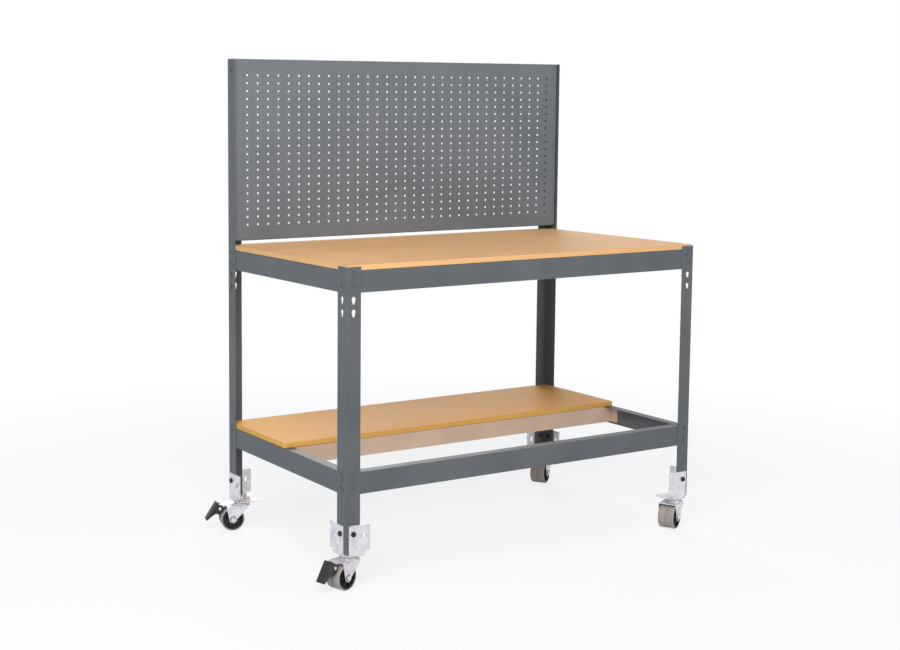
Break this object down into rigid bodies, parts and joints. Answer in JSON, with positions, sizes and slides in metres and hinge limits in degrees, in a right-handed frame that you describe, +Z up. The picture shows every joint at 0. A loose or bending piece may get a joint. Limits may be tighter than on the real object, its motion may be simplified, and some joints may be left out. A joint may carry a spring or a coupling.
{
  "type": "mobile assembly table",
  "caption": "Steel-framed assembly table on swivel casters, with a board worktop, half-depth lower shelf and perforated back panel for hanging tools.",
  "frame": {"origin": "on the floor, under the middle of the frame", "axes": "+X to the right along the worktop, +Y from the front edge to the back panel, +Z up"},
  "size_m": [1.475, 0.8065, 1.591],
  "materials": {
    "frame_enamel": "blue-grey baked enamel, soft gloss",
    "beam_enamel": "light beige-grey enamel, soft gloss",
    "panel_enamel": "grey baked enamel, soft gloss",
    "worktop_board": "bare particle board, sanded",
    "shelf_board": "bare particle board, sanded",
    "zinc_plate": "bright zinc plated pressed steel",
    "zinc_hardware": "zinc plated fasteners",
    "dark_hardware": "bolts with black oxide",
    "ball_steel": "greased bearing steel",
    "tread_rubber": "grey thermoplastic rubber",
    "wheel_core": "black moulded plastic",
    "pedal_plastic": "black moulded plastic"
  },
  "bodies": {
    "table": {"front_left_post": "frame_enamel", "front_right_post": "frame_enamel", "rear_right_post": "frame_enamel", "rear_left_post": "frame_enamel", "top_front_rail": "frame_enamel", "top_right_rail": "frame_enamel", "top_rear_rail": "frame_enamel", "top_left_rail": "frame_enamel", "lower_front_rail": "frame_enamel", "lower_right_rail": "frame_enamel", "lower_rear_rail": "frame_enamel", "lower_left_rail": "frame_enamel", "shelf_front_rail": "beam_enamel", "work_top": "worktop_board", "lower_shelf": "shelf_board", "back_panel": "panel_enamel", "rail_rivets": "frame_enamel", "panel_bolts": "zinc_hardware", "front_left_bracket": "zinc_plate", "front_right_bracket": "zinc_plate", "rear_right_bracket": "zinc_plate", "rear_left_bracket": "zinc_plate", "bracket_bolts": "dark_hardware", "stem_nuts": "zinc_hardware", "kingpins": "zinc_hardware", "swivel_races": "zinc_plate", "ball_rings": "ball_steel"},
    "front_left_caster": {"front_left_fork": "zinc_plate", "front_left_axle": "zinc_hardware", "front_left_pedal_pin": "zinc_hardware"},
    "front_left_roller": {"front_left_wheel": "wheel_core", "front_left_tyre": "tread_rubber"},
    "front_left_brake": {"front_left_brake_pedal": "pedal_plastic"},
    "rear_left_caster": {"rear_left_fork": "zinc_plate", "rear_left_axle": "zinc_hardware", "rear_left_pedal_pin": "zinc_hardware"},
    "rear_left_roller": {"rear_left_wheel": "wheel_core", "rear_left_tyre": "tread_rubber"},
    "rear_left_brake": {"rear_left_brake_pedal": "pedal_plastic"},
    "front_right_caster": {"front_right_fork": "zinc_plate", "front_right_axle": "zinc_hardware"},
    "front_right_roller": {"front_right_wheel": "wheel_core", "front_right_tyre": "tread_rubber"},
    "rear_right_caster": {"rear_right_fork": "zinc_plate", "rear_right_axle": "zinc_hardware"},
    "rear_right_roller": {"rear_right_wheel": "wheel_core", "rear_right_tyre": "tread_rubber"}
  },
  "joints": [
    {"name": "front_left_swivel", "type": "hinge", "parent": "table", "child": "front_left_caster", "pos_m": [-0.6538, -0.349, 0.0915], "axis": [0, 0, 1], "continuous": true},
    {"name": "front_left_wheel_spin", "type": "hinge", "parent": "front_left_caster", "child": "front_left_roller", "pos_m": [-0.68841, -0.35892, 0.04], "axis": [0.2756, -0.9613, 0], "continuous": true},
    {"name": "front_left_brake_press", "type": "hinge", "parent": "front_left_caster", "child": "front_left_brake", "pos_m": [-0.72974, -0.37078, 0.076], "axis": [0.2756, -0.9613, 0], "range_deg": [0, 14]},
    {"name": "rear_left_swivel", "type": "hinge", "parent": "table", "child": "rear_left_caster", "pos_m": [-0.6538, 0.349, 0.0915], "axis": [0, 0, 1], "continuous": true},
    {"name": "rear_left_wheel_spin", "type": "hinge", "parent": "rear_left_caster", "child": "rear_left_roller", "pos_m": [-0.68841, 0.35892, 0.04], "axis": [-0.2756, -0.9613, 0], "continuous": true},
    {"name": "rear_left_brake_press", "type": "hinge", "parent": "rear_left_caster", "child": "rear_left_brake", "pos_m": [-0.72974, 0.37078, 0.076], "axis": [-0.2756, -0.9613, 0], "range_deg": [0, 14]},
    {"name": "front_right_swivel", "type": "hinge", "parent": "table", "child": "front_right_caster", "pos_m": [0.6538, -0.349, 0.0915], "axis": [0, 0, 1], "continuous": true},
    {"name": "front_right_wheel_spin", "type": "hinge", "parent": "front_right_caster", "child": "front_right_roller", "pos_m": [0.62172, -0.36534, 0.04], "axis": [0.454, -0.891, 0], "continuous": true},
    {"name": "rear_right_swivel", "type": "hinge", "parent": "table", "child": "rear_right_caster", "pos_m": [0.6538, 0.349, 0.0915], "axis": [0, 0, 1], "continuous": true},
    {"name": "rear_right_wheel_spin", "type": "hinge", "parent": "rear_right_caster", "child": "rear_right_roller", "pos_m": [0.62361, 0.32939, 0.04], "axis": [0.5446, -0.8387, 0], "continuous": true}
  ]
}
